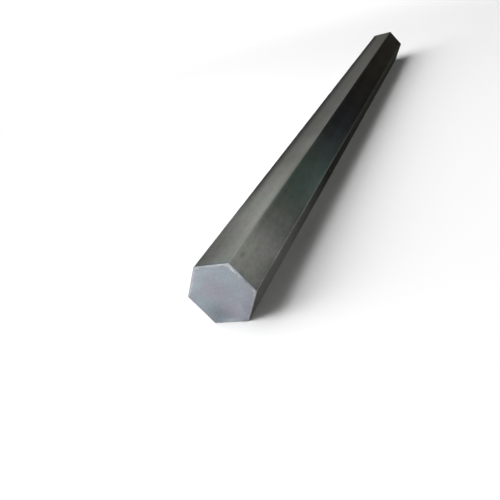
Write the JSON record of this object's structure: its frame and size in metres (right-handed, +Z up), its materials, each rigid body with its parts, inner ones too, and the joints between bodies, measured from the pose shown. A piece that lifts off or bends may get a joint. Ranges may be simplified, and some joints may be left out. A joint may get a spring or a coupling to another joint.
{
  "type": "stainless steel hexagonal bar",
  "caption": "Length of cold-drawn stainless steel hexagonal bar stock, sawn square at its ends and lying on a flat.",
  "frame": {"origin": "on the floor under the middle of the bar, at the centre of the flat that it lies on", "axes": "+Y along the bar from its near sawn end to its far one, +Z up out of its top flat, +X across two opposite corners"},
  "size_m": [0.0528, 0.75, 0.046],
  "materials": {
    "drawn_stainless": "satin"
  },
  "bodies": {
    "root": {"hex_bar": "drawn_stainless"}
  },
  "joints": []
}
